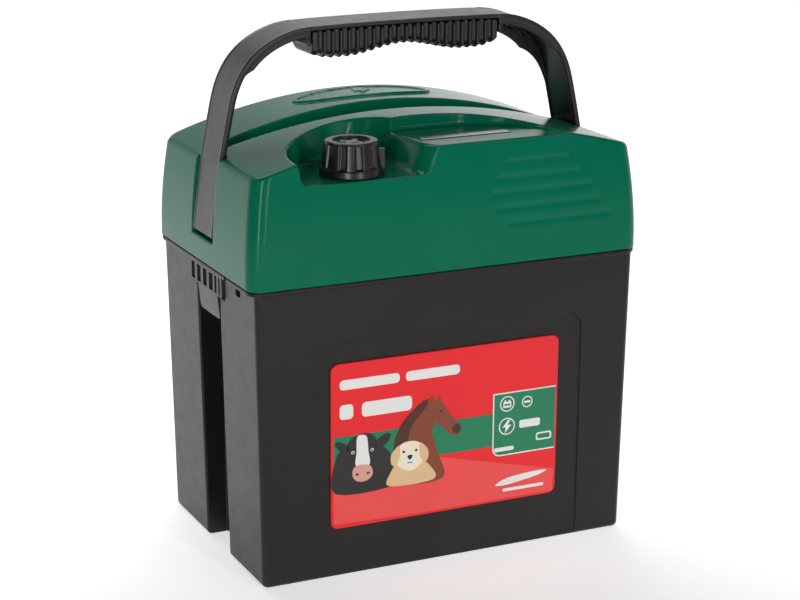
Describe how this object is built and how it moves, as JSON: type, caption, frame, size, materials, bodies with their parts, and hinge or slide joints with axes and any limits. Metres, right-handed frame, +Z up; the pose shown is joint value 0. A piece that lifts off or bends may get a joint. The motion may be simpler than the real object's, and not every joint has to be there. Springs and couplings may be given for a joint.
{
  "type": "fence energizer",
  "caption": "Battery fence energizer: black battery bin closed by a green lid with carrying handle, rotary power knob, indicator window and side latches.",
  "frame": {"origin": "centre of the bin's footprint, on the surface it stands on", "axes": "+Z up; +X along the long side, to the right seen from the front; -Y the front with the label and the knob, +Y the rear with the output terminals"},
  "size_m": [0.25, 0.159, 0.3169],
  "materials": {
    "bin_plastic": "satin moulded black",
    "label_film": "glossy printed film",
    "seal_rubber": "foam rubber",
    "battery_case": "printed card",
    "battery_cover": "bitumen-black plastic",
    "terminal_red": "moulded",
    "terminal_blue": "moulded",
    "latch_plastic": "satin moulded black",
    "steel": "zinc plated",
    "lid_plastic": "semi-gloss moulded green",
    "handle_plastic": "satin moulded black",
    "grip_plastic": "satin moulded black",
    "window_smoke": "smoked clear plastic",
    "led_green": "diffused lens",
    "led_red": "diffused lens",
    "board": "solder mask",
    "knob_plastic": "satin moulded black",
    "hub_plastic": "moulded",
    "switch_body": "moulded",
    "carrier_plastic": "moulded black",
    "core_iron": "laminated iron",
    "copper": "enamelled copper wire",
    "capacitor_body": "moulded box",
    "capacitor_sleeve": "shrink sleeve",
    "aluminium": "extruded",
    "device_black": "moulded",
    "brass": "turned",
    "knob_red": "moulded",
    "knob_green": "moulded",
    "lead_red": "insulated wire",
    "lead_black": "insulated wire"
  },
  "bodies": {
    "bin": {"bin": "bin_plastic", "rim_seal": "seal_rubber", "label_plate": "label_film", "battery_case": "battery_case", "battery_cover": "battery_cover", "battery_terminal_positive": "terminal_red", "battery_terminal_negative": "terminal_blue", "left_latch_pin": "steel", "right_latch_pin": "steel", "left_latch_spring": "steel", "right_latch_spring": "steel"},
    "lid": {"lid_shell": "lid_plastic", "handle": "handle_plastic", "handle_grip": "grip_plastic", "handle_screw_left_front": "steel", "handle_screw_left_rear": "steel", "handle_screw_right_front": "steel", "handle_screw_right_rear": "steel", "rotary_switch": "switch_body", "switch_nut": "steel", "indicator_window": "window_smoke", "indicator_board": "board", "carrier_plate": "carrier_plastic", "circuit_board": "board", "transformer_core": "core_iron", "transformer_coil": "copper", "storage_capacitor": "capacitor_body", "supply_capacitor": "capacitor_sleeve", "heat_sink": "aluminium", "thyristor": "device_black", "inductor": "copper", "fence_terminal_stud": "brass", "earth_terminal_stud": "brass", "battery_lead_positive": "lead_red", "battery_lead_negative": "lead_black", "lead_grommet_positive": "seal_rubber", "lead_grommet_negative": "seal_rubber", "status_led_1": "led_red", "status_led_2": "led_green", "status_led_3": "led_green", "status_led_4": "led_green", "status_led_5": "led_green", "carrier_screw_1": "steel", "carrier_screw_2": "steel", "carrier_screw_3": "steel", "carrier_screw_4": "steel"},
    "power_knob": {"knob": "knob_plastic", "knob_hub_cap": "hub_plastic", "switch_shaft": "steel"},
    "left_latch": {"left_latch": "latch_plastic"},
    "right_latch": {"right_latch": "latch_plastic"},
    "fence_terminal": {"fence_terminal_knob": "knob_red"},
    "earth_terminal": {"earth_terminal_knob": "knob_green"}
  },
  "joints": [
    {"name": "lid_lift", "type": "slide", "parent": "bin", "child": "lid", "axis": [0, 0, 1], "range_m": [0, 0.12]},
    {"name": "knob_turn", "type": "hinge", "parent": "lid", "child": "power_knob", "pos_m": [-0.054, -0.0575, 0.245], "axis": [0, 0, 1], "range_deg": [0, 120]},
    {"name": "left_latch_pull", "type": "hinge", "parent": "bin", "child": "left_latch", "pos_m": [-0.1184, 0, 0.1696], "axis": [0, 1, 0], "range_deg": [0, 8], "stiffness_Nm_per_rad": 0.4, "springref_deg": -2.86},
    {"name": "right_latch_pull", "type": "hinge", "parent": "bin", "child": "right_latch", "pos_m": [0.1184, 0, 0.1696], "axis": [0, -1, 0], "range_deg": [0, 8], "stiffness_Nm_per_rad": 0.4, "springref_deg": -2.86},
    {"name": "fence_terminal_turn", "type": "hinge", "parent": "lid", "child": "fence_terminal", "pos_m": [-0.015, 0.072, 0.206], "axis": [0, 1, 0], "range_deg": [0, 720]},
    {"name": "earth_terminal_turn", "type": "hinge", "parent": "lid", "child": "earth_terminal", "pos_m": [0.015, 0.072, 0.206], "axis": [0, 1, 0], "range_deg": [0, 720]}
  ]
}
